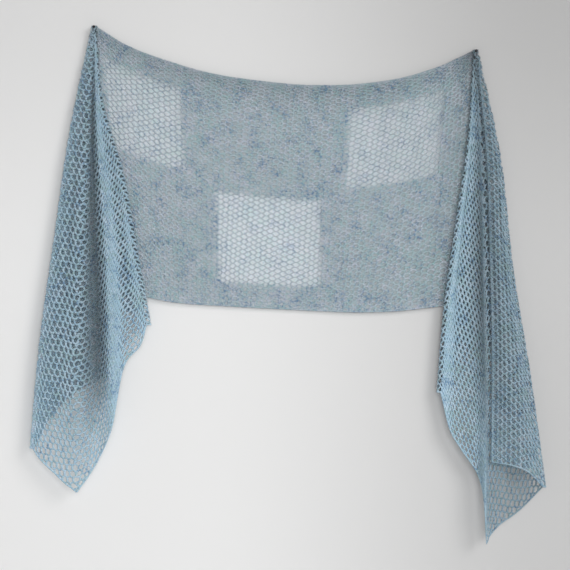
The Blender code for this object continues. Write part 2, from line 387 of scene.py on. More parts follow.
# Painted shade: the wall gets darker to the right and upwards. Given are the axis, where this
# starts and ends in metres, and by how much.
WALL_PAINTED_SHADE = (("X", 0.16, 0.86, 0.32), ("Z", -0.50, 0.12, 0.15))

# Steps of the surfaces that carry the rows: down from the upper edge or the pin, across one
# stretch between fold lines, round a turn, and across the panel.
SURFACE_STEPS_DOWN = 200
SURFACE_STEPS_PER_STRETCH = 14
SURFACE_STEPS_ROUND_TURN = 14
PANEL_SURFACE_STEPS = 320


def spline_through(points, places):
    """Read a smooth curve through a stack of points at many places, 0 to len - 1."""
    points = np.asarray(points, float)
    last = len(points) - 1
    index = np.minimum(places.astype(int), last - 1)
    ends = (points[:1] * 2 - points[1:2], points, points[-1:] * 2 - points[-2:-1])
    padded = np.concatenate(ends)
    share = (places - index).reshape((-1,) + (1,) * (points.ndim - 1))
    before, here, after, beyond = (padded[index + step] for step in range(4))
    start_slope = (after - before) * 0.5
    end_slope = (beyond - here) * 0.5
    square = share * share
    cube = square * share
    return (
        here * (2 * cube - 3 * square + 1)
        + start_slope * (cube - 2 * square + share)
        + after * (3 * square - 2 * cube)
        + end_slope * (cube - square)
    )


def fold_line(fold, pin, shares):
    """Points of a fold line at shares of its way down, in millimetres."""
    stations = (
        fold.at_pin,
        fold.at_quarter,
        fold.at_half,
        fold.at_three_quarters,
        fold.at_hem,
    )
    along = spline_through(stations, shares * (len(stations) - 1))
    fall = CLOTH_ABOVE_PIN - shares * (fold.drop + CLOTH_ABOVE_PIN)
    opening_out = np.sin(shares * math.pi / 2) ** OPENING_OUT_POWER
    depth = fold.pin_depth + (fold.hem_depth - fold.pin_depth) * opening_out
    return np.stack([pin[0] + along, pin[1] - depth, pin[2] + fall], axis=-1)


def layer_lines(layers, index, pin, shares):
    """The fold lines of one layer, pulled in at its turns."""
    layer = layers[index]
    lines = np.stack([fold_line(fold, pin, shares) for fold in layer.folds])
    if layer.turn_side is not None:
        front = fold_line(layers[index + 1].folds[0], pin, shares)
        reach = np.linalg.norm(lines[-1] - front, axis=-1) / 2
        lines[-1, :, 0] -= layer.turn_side * reach
    if index > 0:
        back = fold_line(layers[index - 1].folds[-1], pin, shares)
        reach = np.linalg.norm(lines[0] - back, axis=-1) / 2
        lines[0, :, 0] -= layers[index - 1].turn_side * reach
    return lines


def turn_lines(back, front, side):
    """Lines round the turn from one layer to the next."""
    reach = np.linalg.norm(back - front, axis=-1) / 2
    middle = (back + front) / 2
    to_front = (front - back) / 2
    lines = []
    for step in range(1, SURFACE_STEPS_ROUND_TURN):
        angle = math.pi * step / SURFACE_STEPS_ROUND_TURN
        line = middle - to_front * math.cos(angle)
        line[:, 0] += side * reach * math.sin(angle)
        lines.append(line)
    return np.stack(lines)


def rise_to_hem(shares, start):
    """How far each share of the way down is past a start: 0 up to there, and 1 at the hem."""
    return np.clip((shares - start) / (1 - start), 0, 1)


def layer_painted_shading(tones, index, count, shares):
    """Painted light and shade on one layer's yarn, from the light that gets to it inside the folds,
    at the pin and at the hem.
    """
    across = np.linspace(0, 1, count)[:, None]
    layer = tones[index]
    tone = layer.start + (layer.end - layer.start) * across
    near_pin = 1 - (1 - layer.at_pin) * np.exp(-shares / PIN_PAINTED_SHADE_REACH)
    near_hem = 1 + (layer.at_hem - 1) * rise_to_hem(shares, HEM_PAINTED_LIGHT_START)
    return tone * (near_pin * near_hem)[None, :]


def press_creases(surface, tone, creases, layer, shares):
    """Press one layer's creases into its lines. Painted shade darkens the troughs as well."""
    stations = np.arange(len(surface)) / SURFACE_STEPS_PER_STRETCH
    for crease in creases:
        if crease.layer != layer:
            continue
        across = np.exp(-(((stations - crease.station) / crease.half_width) ** 2))
        inside = np.clip((shares - crease.start) / (crease.end - crease.start), 0, 1)
        down = np.sin(math.pi * inside) ** CREASE_POWER
        press = across[:, None] * down[None, :]
        surface[:, :, 1] -= crease.height * press
        tone *= 1 - VALLEY_PAINTED_SHADE_PER_MM * max(0, -crease.height) * press


def sharpen_corner(surface, lines, places, shares, corner):
    """Straighten the cloth on both sides of its lowest corner, which makes the tip pointed."""
    index = np.minimum(places.astype(int), len(lines) - 2)
    share = (places - index)[:, None, None]
    straight = lines[index] * (1 - share) + lines[index + 1] * share
    off_corner = (places - corner / SURFACE_STEPS_PER_STRETCH) / CORNER_REACH
    near = np.exp(-(off_corner**2))[:, None] * rise_to_hem(shares, CORNER_START)[None, :]
    return surface + (straight - surface) * near[:, :, None]


def tail_grid(layers, creases, tones, pin):
    """A tail's lines from the pin to the hem, their painted light and shade and haze, and its
    corner's line.
    """
    shares = np.linspace(0.0, 1.0, SURFACE_STEPS_DOWN + 1)
    blocks = []
    painted_shading_blocks = []
    haze_blocks = []
    corner = None
    count = 0
    for index, layer in enumerate(layers):
        lines = layer_lines(layers, index, pin, shares)
        steps = (len(lines) - 1) * SURFACE_STEPS_PER_STRETCH
        for number, fold in enumerate(layer.folds):
            if fold.name == "lowest corner":
                corner = count + number * SURFACE_STEPS_PER_STRETCH
        places = np.arange(steps + 1) / SURFACE_STEPS_PER_STRETCH
        surface = spline_through(lines, places)
        if corner is not None and corner > count:
            surface = sharpen_corner(surface, lines, places, shares, corner - count)
        tone = layer_painted_shading(tones, index, steps + 1, shares)
        press_creases(surface, tone, creases, index, shares)
        blocks.append(surface)
        painted_shading_blocks.append(tone)
        haze = tones[index].haze
        thinned = (haze - tones[index].hem_haze) * rise_to_hem(shares, HAZE_THINS_FROM)
        haze_blocks.append(np.broadcast_to(haze - thinned, tone.shape))
        count += steps + 1
        if layer.turn_side is not None:
            front = layer_lines(layers, index + 1, pin, shares)[0]
            turn = turn_lines(lines[-1], front, layer.turn_side)
            blocks.append(turn)
            # Painted shade blends round the turn into the next layer's.
            ahead = layer_painted_shading(tones, index + 1, 2, shares)[0]
            blend = np.linspace(0, 1, len(turn))[:, None] ** TURN_PAINTED_SHADE_POWER
            painted_shading_blocks.append(painted_shading_blocks[-1][-1] * (1 - blend) + ahead * blend)
            haze_blocks.append(np.full_like(painted_shading_blocks[-1], tones[index + 1].hem_haze))
            count += len(turn)
    surface, tone, haze = (np.concatenate(parts) for parts in (blocks, painted_shading_blocks, haze_blocks))
    return surface, tone, haze, corner


def panel_grid():
    """The panel's surface as lines from its upper to its lower edge."""
    shares = np.linspace(0.0, 1.0, SURFACE_STEPS_DOWN + 1)
    across = np.linspace(0.0, 1.0, PANEL_SURFACE_STEPS + 1)
    left = fold_line(LEFT_TAIL_LAYERS[0].folds[0], LEFT_PIN, shares)
    right = fold_line(RIGHT_TAIL_LAYERS[0].folds[0], RIGHT_PIN, shares)
    left += (-PANEL_OVERLAP, -PANEL_LIFT, 0)
    right += (PANEL_OVERLAP, -PANEL_LIFT, 0)

    def long_edge(stations, end):
        points = [left[end]]
        points.extend((station.along, 0.0, -station.below) for station in stations)
        points.append(right[end])
        return spline_through(points, across * (len(points) - 1))

    upper = long_edge(PANEL_UPPER_EDGE, 0)
    lower = long_edge(PANEL_LOWER_EDGE, -1)
    down = shares[None, :, None]
    over = across[:, None, None]
    grid = upper[:, None] * (1 - down) + lower[:, None] * down
    left_bow = left - (left[0] * (1 - shares[:, None]) + left[-1] * shares[:, None])
    right_bow = right - (right[0] * (1 - shares[:, None]) + right[-1] * shares[:, None])
    grid = grid + left_bow[None] * (1 - over) + right_bow[None] * over
    edge_depth = -(left[None, :, 1] * (1 - across[:, None]) + right[None, :, 1] * across[:, None])
    free = np.minimum(1.0, PANEL_SEAM_BLEND * np.sin(math.pi * across))[:, None]
    waves = np.zeros_like(edge_depth)
    fade = np.sin(math.pi * DRAPE_REACH * shares ** DRAPE_POWER)[None, :]
    for drape in PANEL_DRAPES:
        centre = drape.upper_share + (drape.lower_share - drape.upper_share) * shares
        off_centre = (across[:, None] - centre[None, :]) / drape.half_width
        waves += drape.height * np.exp(-off_centre * off_centre) * fade
    depth = edge_depth + (PANEL_MIDDLE_DEPTH - edge_depth) * free + waves * free
    grid[:, :, 1] = -depth
    return grid


class HangingCloth:
    """A stretch of the hung shawl, read by places on the flat shawl."""

    def __init__(self, grid, flat_width):
        self.grid = grid * MM
        self.flat_width = flat_width
        across = np.gradient(self.grid, axis=0)
        down = np.gradient(self.grid, axis=1)
        normal = np.cross(across, down)
        size = np.linalg.norm(normal, axis=-1, keepdims=True)
        self.normals = normal / np.maximum(size, 1e-12)

    def read(self, field, line, share):
        """Blend a field of the surface between its four nearest values."""
        lines, steps = field.shape[0] - 1, field.shape[1] - 1
        line = np.clip(line, 0, lines - 1e-6)
        step = np.clip(share * steps, 0, steps - 1e-6)
        low_line = line.astype(int)
        low_step = step.astype(int)
        across = (line - low_line)[:, None]
        down = (step - low_step)[:, None]
        near = field[low_line, low_step] * (1 - down) + field[low_line, low_step + 1] * down
        far = (
            field[low_line + 1, low_step] * (1 - down)
            + field[low_line + 1, low_step + 1] * down
        )
        return near * (1 - across) + far * across

    def place(self, along, below):
        """Points and normals of the hung cloth for places on the flat shawl."""
        line, share = self.lines_and_shares(along, below)
        normals = self.read(self.normals, line, share)
        normals /= np.maximum(np.linalg.norm(normals, axis=1, keepdims=True), 1e-12)
        return self.read(self.grid, line, share), normals


class Panel(HangingCloth):
    """The stretch between the pins."""

    shift_share = 1.0

    def __init__(self, flat_length, flat_width):
        super().__init__(panel_grid(), flat_width)
        self.flat_length = flat_length
        steps = np.linalg.norm(np.diff(self.grid, axis=0), axis=-1).mean(axis=1)
        run = np.concatenate([[0.0], np.cumsum(steps)])
        self.run = run / run[-1]

    def row_course(self, settings, row, rows):
        """One row's stops, counted in holes, and how far along the row they are."""
        holes = max(2, round(self.flat_length / settings.hole_pitch))
        stops = np.append(np.add.outer(np.arange(holes), STOPS_IN_A_HOLE).ravel(), holes)
        return stops, stops / holes * self.flat_length

    def beside_row(self, run, across, row, rows):
        """Flat places beside the middle of a row, in row spacings towards the lower edge."""
        along = np.clip(run, 0, self.flat_length)
        below = (row + 0.5 + across) * self.flat_width / rows
        return along, np.clip(below, ROW_MARGIN, self.flat_width - ROW_MARGIN)

    def painted_shading_at(self, along, below):
        """Painted shade on the yarn: darker where the cloth bunches up at its upper edge, and
        painted shadow beside the right pin."""
        upper = BAND_PAINTED_SHADE * np.exp(-((below / BAND_WIDTH) ** 2))
        from_end = self.flat_length - along
        right = END_PAINTED_SHADOW * np.exp(-((from_end / END_WIDTH) ** 2)) * np.exp(-below / END_FADE)
        return 1 - upper - right

    def yarn_share(self, along, below):
        """How thick the yarn lies, as a share of its full width."""
        return np.ones_like(along)

    def share_down(self, share):
        """Crowd the rows towards the upper edge, where the swag bunches up."""
        crowding = UPPER_BAND_CROWDING * UPPER_BAND_SHARE
        pulled = share + crowding * (np.exp(-share / UPPER_BAND_SHARE) - 1)
        full = 1 + crowding * (math.exp(-1 / UPPER_BAND_SHARE) - 1)
        hung = np.clip(pulled / full, 0, 1)
        return UPPER_EDGE_INSET + (1 - UPPER_EDGE_INSET) * hung

    def lines_and_shares(self, along, below):
        """Find the line and the share of the way down that a flat place goes to."""
        line = np.interp(along / self.flat_length, self.run, np.arange(len(self.run)))
        return line, self.share_down(below / self.flat_width)

    def flat_places(self, lines, steps):
        """The flat places of chosen lines and steps of the surface."""
        table = np.linspace(0, 1, 400)
        share = np.interp(steps / (self.grid.shape[1] - 1), self.share_down(table), table)
        along = self.run[lines][:, None] * self.flat_length
        below = share[None, :] * self.flat_width
        return np.broadcast_arrays(along, below)


class Tail(HangingCloth):
    """The stretch beyond a pin. Every line of its surface starts at the pin."""

    shift_share = 0.3

    def __init__(self, layers, creases, tones, pin, flat_length, flat_width):
        grid, tone, haze, corner = tail_grid(layers, creases, tones, pin)
        super().__init__(grid, flat_width)
        self.tone = tone
        self.haze = haze
        self.flat_length = flat_length
        lower_half = self.grid[:, SURFACE_STEPS_DOWN // 2 :]
        steps = np.linalg.norm(np.diff(lower_half, axis=0), axis=-1).mean(axis=1)
        run = np.concatenate([[0.0], np.cumsum(steps)])
        long_side = run[: corner + 1] / run[corner] * flat_length
        short_side = (run[corner:] - run[corner]) / (run[-1] - run[corner]) * flat_width
        self.hem = np.concatenate([long_side, flat_length + short_side[1:]])

    def row_course(self, settings, row, rows):
        """One row's stops, counted in holes, and how far along the row they are.

        A row follows the lower edge and then the end edge, at one share of the way from the
        pin. The holes are counted from the seam, and from the upper edge in the end's part.
        """
        share = (row + 0.5) / rows
        pitch = settings.tail_hole_pitch
        table = np.add.outer(np.arange(MOST_HOLES), STOPS_IN_A_HOLE).ravel()
        first = table[table < share * self.flat_length / pitch]
        second = table[table < share * self.flat_width / pitch][::-1]
        whole = share * (self.flat_length + self.flat_width)
        run = np.concatenate([first * pitch, whole - second * pitch])
        return np.concatenate([first, second]), run

    def beside_row(self, run, across, row, rows):
        """Flat places beside the middle of a row, in row spacings towards the hem."""
        share = np.clip((row + 0.5 + across) / rows, 0.001, 0.999)
        middle = (row + 0.5) / rows
        past_corner = run - middle * self.flat_length
        along = np.where(past_corner <= 0, run, share * self.flat_length)
        below = np.where(
            past_corner <= 0,
            share * self.flat_width,
            middle * self.flat_width - past_corner,
        )
        along = np.clip(along, 0, self.flat_length)
        return along, np.clip(below, ROW_MARGIN, self.flat_width - ROW_MARGIN)

    def painted_shading_at(self, along, below):
        """The painted light and shade on the yarn at places on the flat shawl."""
        line, share = self.lines_and_shares(along, below)
        return self.read(self.tone[:, :, None], line, share)[:, 0]

    def lines_and_shares(self, along, below):
        """Send each place out along its line from the pin to the hem."""
        share = self.flat_share(along, below)
        on_long_side = below / self.flat_width >= along / self.flat_length
        hem_along = np.clip(along / share, 0, self.flat_length)
        hem_below = np.clip(below / share, 0, self.flat_width)
        hem = np.where(on_long_side, hem_along, self.flat_length + self.flat_width - hem_below)
        line = np.interp(hem, self.hem, np.arange(len(self.hem)))
        return line, share ** PIN_CROWDING

    def flat_share(self, along, below):
        """The share of the way from the pin to the hem, on the flat shawl."""
        share = np.maximum(along / self.flat_length, below / self.flat_width)
        return np.clip(share, 1e-5, 1.0)

    def yarn_share(self, along, below):
        """How thick the yarn lies, as a share of its full width. It is pulled thin at the hem."""
        share = self.flat_share(along, below)
        near_hem = np.clip((share - HEM_THINNING_START) / HEM_THINNING_REACH, 0, 1)
        return TAIL_FULLNESS * share ** (PIN_CROWDING - 1) * (1 - HEM_THINNING * near_hem)

    def flat_places(self, lines, steps):
        """The flat places of chosen lines and steps of the surface."""
        hem = self.hem[lines]
        hem_along = np.minimum(hem, self.flat_length)
        hem_below = self.flat_width - np.maximum(hem - self.flat_length, 0)
        share = (steps / (self.grid.shape[1] - 1)) ** (1 / PIN_CROWDING)
        return hem_along[:, None] * share[None, :], hem_below[:, None] * share[None, :]


def sheerness(along, below):
    """How much a place lies in a sheer square: 1 inside, 0 outside."""
    inside = np.zeros_like(along)
    for square in SHEER_SQUARES:
        upright = along - (below - square.upper * MM) * SQUARE_LEAN
        distance = np.minimum.reduce(
            [
                upright - square.start * MM,
                square.end * MM - upright,
                below - square.upper * MM,
                square.lower * MM - below,
            ]
        )
        reach = np.clip(distance / (SQUARE_EDGE_SOFTNESS * MM) + 0.5, 0, 1)
        inside = np.maximum(inside, reach * (1 - square.density))
    return inside


class StrandMesh:
    """Collects yarn strands and makes one mesh of them."""

    def __init__(self, sides):
        self.sides = sides
        self.points = []
        self.quads = []
        self.ends = []
        self.sheer = []
        self.places = []
        self.tones = []
        self.count = 0
        self.strands = 0

    def add(self, line, normals, width, thickness, sheer, tone):
        """Add one strand with an oval section, flat on the cloth."""
        steps = len(line)
        tangent = np.gradient(line, axis=0)
        tangent /= np.maximum(np.linalg.norm(tangent, axis=1, keepdims=True), 1e-12)
        sideways = np.cross(normals, tangent)
        sideways /= np.maximum(np.linalg.norm(sideways, axis=1, keepdims=True), 1e-12)
        upward = np.cross(tangent, sideways)
        angles = np.arange(self.sides) * 2 * math.pi / self.sides
        out = (
            sideways[:, None] * (np.cos(angles)[None, :, None] * width[:, None, None] / 2)
            + upward[:, None] * (np.sin(angles)[None, :, None] * thickness[:, None, None] / 2)
        )
        self.points.append((line[:, None] + out).reshape(-1, 3))
        ring = np.arange(self.sides)
        first = self.count + np.arange(steps - 1)[:, None] * self.sides
        here = first + ring[None, :]
        beside = first + ((ring + 1) % self.sides)[None, :]
        quads = np.stack([here, beside, beside + self.sides, here + self.sides], axis=-1)
        self.quads.append(quads.reshape(-1, 4))
        self.ends.append(self.count + ring[::-1])
        self.ends.append(self.count + (steps - 1) * self.sides + ring)
        self.sheer.append(np.repeat((sheer[:-1] + sheer[1:]) / 2 > 0.5, self.sides))
        run = np.concatenate([[0.0], np.cumsum(np.linalg.norm(np.diff(line, axis=0), axis=1))])
        place = np.empty((steps, self.sides, 3))
        place[:, :, 0] = run[:, None]
        place[:, :, 1] = self.strands * 0.01
        place[:, :, 2] = np.cos(angles)[None, :] * 0.001
        self.places.append(place.reshape(-1, 3))
        self.tones.append(np.repeat(tone, self.sides))
        self.count += steps * self.sides
        self.strands += 1

    def build(self, name, materials):
        """Make the mesh object. The first material is the ground's, the second the squares'."""
        quads = np.concatenate(self.quads)
        ends = np.array(self.ends)
        loops = np.concatenate([quads.ravel(), ends.ravel()])
        starts = np.concatenate(
            [
                np.arange(len(quads)) * 4,
                len(quads) * 4 + np.arange(len(ends)) * self.sides,
            ]
        )
        choice = np.concatenate([*self.sheer, np.zeros(len(ends), bool)])
        net = mesh_object(name, np.concatenate(self.points), loops, starts, materials)
        net.data.polygons.foreach_set("material_index", choice.astype(np.int32))
        add_attribute(net, "yarn_place", "FLOAT_VECTOR", np.concatenate(self.places))
        add_attribute(net, "yarn_painted_shading", "FLOAT", np.concatenate(self.tones))
        return net


def mesh_object(name, points, loops, starts, materials):
    """Make a smooth mesh object from numpy arrays."""
    mesh = bpy.data.meshes.new(name)
    mesh.vertices.add(len(points))
    mesh.vertices.foreach_set("co", points.astype(np.float32).ravel())
    mesh.loops.add(len(loops))
    mesh.loops.foreach_set("vertex_index", loops.astype(np.int32))
    mesh.polygons.add(len(starts))
    mesh.polygons.foreach_set("loop_start", starts.astype(np.int32))
    for material in materials:
        mesh.materials.append(material)
    mesh.update(calc_edges=True)
    mesh.shade_smooth()
    made = bpy.data.objects.new(name, mesh)
    bpy.context.scene.collection.objects.link(made)
    return made


def add_attribute(made, name, kind, values):
    """Store a value for each point of a mesh object."""
    attribute = made.data.attributes.new(name, kind, "POINT")
    key = "vector" if kind == "FLOAT_VECTOR" else "value"
    attribute.data.foreach_set(key, values.astype(np.float32).ravel())


def slow_noise(places, pitch, seed):
    """Smooth unevenness between -1 and 1 along a row, from a few seeded waves."""
    chance = np.random.default_rng(seed)
    total = np.zeros_like(places)
    for share in NOISE_SHARES:
        angle = places / (pitch * share) * 2 * math.pi + chance.uniform(0, 2 * math.pi)
        total += share * np.sin(angle)
    return total / NOISE_SCALE


def knit_rows(cloth, settings, rows, first_row, last_row, yarn_width, squares):
    """Knit rows of the net over a stretch of cloth. Neighbour rows touch at every crest."""
    strands = StrandMesh(settings.yarn_sides)
    uneven = settings.unevenness
    for row in range(first_row, last_row):
        stops, run = cloth.row_course(settings, row, rows)
        if len(stops) < FEWEST_STOPS:
            continue
        phase = stops * math.pi + (row % 2) * math.pi
        along, below = cloth.beside_row(run, np.zeros(len(run)), row, rows)
        sheer = sheerness(along, below) if squares else np.zeros(len(run))
        squareness = settings.crest_squareness * (1 - SHEER_ROUNDING * sheer)
        crest = np.tanh(squareness * np.cos(phase)) / np.tanh(squareness)
        ragged = np.random.default_rng(row + RAGGED_SEED).uniform(-1, 1, len(run))
        swell = 1 + slow_noise(run, SWELL_PITCH, row + SWELL_SEED) * uneven
        shift = slow_noise(run, SHIFT_PITCH, row + SHIFT_SEED) * uneven
        shift *= settings.hole_pitch * cloth.shift_share
        across = slow_noise(run, DRIFT_PITCH, row) * uneven * DRIFT_SHARE
        across += ragged * uneven * RAGGED_SHARE
        across += settings.crest_reach * swell * crest
        along, below = cloth.beside_row(run + shift, across, row, rows)
        line, normals = cloth.place(along, below)
        lift = settings.yarn_thickness * settings.weave_lift * crest
        line = line + normals * lift[:, None]
        sheer = sheerness(along, below) if squares else np.zeros_like(along)
        riser = 1 + settings.riser_weight * (1 + sheer) * (0.5 - np.abs(crest))
        thin = (1 + (settings.sheer_yarn_share - 1) * sheer) * swell * riser
        thin *= cloth.yarn_share(along, below)
        strands.add(
            line,
            normals,
            yarn_width * thin,
            settings.yarn_thickness * thin,
            sheer,
            cloth.painted_shading_at(along, below),
        )
    return strands


def haze_sheet(name, cloth, coverage, front, material):
    """The felted halo of the yarn: one thin sheet of loose fibres on the cloth's form."""
    lines = np.arange(0, cloth.grid.shape[0], 2)
    if lines[-1] != cloth.grid.shape[0] - 1:
        lines = np.append(lines, cloth.grid.shape[0] - 1)
    steps = np.arange(0, cloth.grid.shape[1], 2)
    along, below = cloth.flat_places(lines, steps)
    cover = coverage(along, below)
    thinness = (cover.max() - cover) / max(cover.max() - cover.min(), 1e-6)
    offset = front * (1 - 2 * thinness)[:, :, None]
    points = cloth.grid[np.ix_(lines, steps)] - cloth.normals[np.ix_(lines, steps)] * offset
    columns = len(steps)
    corner = np.add.outer(np.arange(len(lines) - 1) * columns, np.arange(columns - 1))
    loops = np.stack([corner, corner + 1, corner + columns + 1, corner + columns], axis=-1)
    sheet = mesh_object(
        name,
        points.reshape(-1, 3),
        loops.ravel(),
        np.arange(corner.size) * 4,
        [material],
    )
    # The fibres carry the cloth's painted light and shade, with painted light in the squares.
    tone = cloth.painted_shading_at(along.ravel(), below.ravel())
    tone *= 1 + SHEER_HAZE_PAINTED_LIGHT * thinness.ravel()
    add_attribute(sheet, "haze_cover", "FLOAT", cover.ravel())
    add_attribute(sheet, "yarn_painted_shading", "FLOAT", tone)
    flat = np.stack([along, below, np.zeros_like(along)], axis=-1)
    add_attribute(sheet, "yarn_place", "FLOAT_VECTOR", flat.reshape(-1, 3))
    return sheet


def add_edge(strands, cloth, settings, along, below):
    """Add an edge stitch: a row of small swells along an edge of the shawl."""
    line, normals = cloth.place(along, below)
    beat = np.arange(len(line)) % EDGE_STEPS_PER_STITCH / EDGE_STEPS_PER_STITCH
    size = settings.edge_width * (1 + EDGE_SWELL * np.cos(beat * 2 * math.pi))
    tone = cloth.painted_shading_at(along, below)
    strands.add(line, normals, size, size * EDGE_FLATNESS, np.zeros(len(line)), tone)


def finish_net(net, node, flat, area, rests_on):
    """Tie a net to the solid that it stands for. The size and area it was cut to, and what it rests
    on, are not used.
    """
    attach(net, BODY)
    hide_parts(node)


def finish_haze(haze, node):
    """Tie the halo of loose fibres to the solid that its nets stand for."""
    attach(haze, BODY)
    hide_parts(node)


def add_node(tree, kind, x, y, **values):
    """Add a shader node and set its properties and inputs by name."""
    node = tree.nodes.new(kind)
    node.location = (x, y)
    for key, value in values.items():
        if hasattr(node, key):
            setattr(node, key, value)
        else:
            node.inputs[key.replace("_", " ")].default_value = value
    return node


def join(source, output, target, entry):
    """Link an output of one node to an input of another."""
    source.id_data.links.new(source.outputs[output], target.inputs[entry])


def heather_group():
    """Node group: heathered yarn colour, scaled by the painted light and shade stored on the yarn,
    its roughness and the height of its fibres.
    """
    name = "Heathered Yarn"
    if name in bpy.data.node_groups:
        return bpy.data.node_groups[name]
    tree = bpy.data.node_groups.new(name, "ShaderNodeTree")
    face = tree.interface
    for label in ("Main", "Cool Fleck", "Warm Fleck", "Deep"):
        face.new_socket(label, in_out="INPUT", socket_type="NodeSocketColor")
    for label in ("Fleck Size", "Fleck Amount", "Twist Pitch"):
        face.new_socket(label, in_out="INPUT", socket_type="NodeSocketFloat")
    face.new_socket("Color", in_out="OUTPUT", socket_type="NodeSocketColor")
    face.new_socket("Roughness", in_out="OUTPUT", socket_type="NodeSocketFloat")
    face.new_socket("Height", in_out="OUTPUT", socket_type="NodeSocketFloat")
    inputs = add_node(tree, "NodeGroupInput", -1400, 0)
    outputs = add_node(tree, "NodeGroupOutput", 900, 0)
    room = add_node(tree, "ShaderNodeTexCoord", -1400, 500)
    yarn = add_node(tree, "ShaderNodeAttribute", -1400, -300, attribute_name="yarn_place")

    fleck = add_node(tree, "ShaderNodeTexNoise", -800, 400, Detail=2.0, Roughness=0.65)
    join(yarn, "Vector", fleck, "Vector")
    join(inputs, "Fleck Size", fleck, "Scale")
    split = add_node(tree, "ShaderNodeSeparateColor", -600, 400)
    join(fleck, "Color", split, "Color")
    cloud = add_node(tree, "ShaderNodeTexNoise", -800, 700, Scale=42.0, Detail=3.0)
    join(room, "Object", cloud, "Vector")
    cloud_parts = add_node(tree, "ShaderNodeSeparateColor", -600, 700)
    join(cloud, "Color", cloud_parts, "Color")

    def patch(channel, low, high, x, y):
        joined = add_node(tree, "ShaderNodeMath", x - 200, y, operation="MULTIPLY_ADD")
        joined.inputs[1].default_value = CLOUD_SHARE
        join(cloud_parts, channel, joined, 0)
        join(split, channel, joined, 2)
        ramp = add_node(tree, "ShaderNodeMapRange", x, y)
        ramp.inputs["From Min"].default_value = low
        ramp.inputs["From Max"].default_value = high
        join(joined, 0, ramp, "Value")
        scaled = add_node(tree, "ShaderNodeMath", x + 200, y, operation="MULTIPLY")
        join(ramp, "Result", scaled, 0)
        join(inputs, "Fleck Amount", scaled, 1)
        return scaled

    cool = add_node(tree, "ShaderNodeMix", 0, 300, data_type="RGBA")
    join(patch("Red", 0.72, 0.90, -300, 500), 0, cool, "Factor")
    join(inputs, "Main", cool, "A")
    join(inputs, "Cool Fleck", cool, "B")
    warm = add_node(tree, "ShaderNodeMix", 200, 300, data_type="RGBA")
    join(patch("Green", 0.75, 0.90, -300, 300), 0, warm, "Factor")
    join(cool, "Result", warm, "A")
    join(inputs, "Warm Fleck", warm, "B")
    deep = add_node(tree, "ShaderNodeMix", 400, 300, data_type="RGBA")
    join(patch("Blue", 0.82, 0.96, -300, 100), 0, deep, "Factor")
    join(warm, "Result", deep, "A")
    join(inputs, "Deep", deep, "B")
    # The painted light and shade stored on the yarn scales its colour.
    tone = add_node(tree, "ShaderNodeAttribute", 400, 600, attribute_name="yarn_painted_shading")
    toned = add_node(tree, "ShaderNodeVectorMath", 650, 300, operation="SCALE")
    join(deep, "Result", toned, "Vector")
    join(tone, "Fac", toned, "Scale")
    join(toned, "Vector", outputs, "Color")

    parts = add_node(tree, "ShaderNodeSeparateXYZ", -1200, -300)
    join(yarn, "Vector", parts, "Vector")
    slant = add_node(tree, "ShaderNodeMath", -1000, -400, operation="MULTIPLY_ADD")
    slant.inputs[1].default_value = TWIST_SLANT
    join(parts, "Z", slant, 0)
    join(parts, "X", slant, 2)
    turns = add_node(tree, "ShaderNodeMath", -900, -300, operation="DIVIDE")
    join(slant, 0, turns, 0)
    join(inputs, "Twist Pitch", turns, 1)
    ply = add_node(tree, "ShaderNodeMath", -800, -300, operation="SINE")
    join(turns, 0, ply, 0)
    fibre = add_node(tree, "ShaderNodeTexNoise", -800, -500, Scale=1500.0, Detail=3.0)
    join(room, "Object", fibre, "Vector")
    ply_height = add_node(tree, "ShaderNodeMath", -500, -300, operation="MULTIPLY_ADD")
    ply_height.inputs[1].default_value = PLY_SHARE
    join(ply, 0, ply_height, 0)
    join(fibre, "Fac", ply_height, 2)
    join(ply_height, 0, outputs, "Height")
    rough = add_node(tree, "ShaderNodeMapRange", -400, -500)
    rough.inputs["To Min"].default_value = 0.7
    rough.inputs["To Max"].default_value = 0.95
    join(fibre, "Fac", rough, "Value")
    join(rough, "Result", outputs, "Roughness")
    return tree


def fibre_mask_group():
    """Node group: a mask of fine curled fibres that cover a given share of the cloth."""
    name = "Loose Fibres"
    if name in bpy.data.node_groups:
        return bpy.data.node_groups[name]
    tree = bpy.data.node_groups.new(name, "ShaderNodeTree")
    face = tree.interface
    face.new_socket("Cover", in_out="INPUT", socket_type="NodeSocketFloat")
    face.new_socket("Mask", in_out="OUTPUT", socket_type="NodeSocketFloat")
    inputs = add_node(tree, "NodeGroupInput", -1000, 0)
    outputs = add_node(tree, "NodeGroupOutput", 900, 0)
    room = add_node(tree, "ShaderNodeTexCoord", -1000, 300)
    masks = []
    for top, scale in ((300, 900.0), (0, 1500.0)):
        curl = add_node(tree, "ShaderNodeTexNoise", -800, top, Scale=scale, Detail=1.0)
        join(room, "Object", curl, "Vector")
        centred = add_node(tree, "ShaderNodeMath", -600, top, operation="SUBTRACT")
        centred.inputs[1].default_value = 0.5
        join(curl, "Fac", centred, 0)
        distance = add_node(tree, "ShaderNodeMath", -400, top, operation="ABSOLUTE")
        join(centred, 0, distance, 0)
        reach = add_node(tree, "ShaderNodeMath", -400, top - 150, operation="MULTIPLY")
        reach.inputs[1].default_value = FIBRE_HALF_WIDTH
        join(inputs, "Cover", reach, 0)
        inside = add_node(tree, "ShaderNodeMath", -200, top, operation="LESS_THAN")
        join(distance, 0, inside, 0)
        join(reach, 0, inside, 1)
        masks.append(inside)
    either = add_node(tree, "ShaderNodeMath", 100, 0, operation="MAXIMUM")
    join(masks[0], 0, either, 0)
    join(masks[1], 0, either, 1)
    join(either, 0, outputs, "Mask")
    return tree


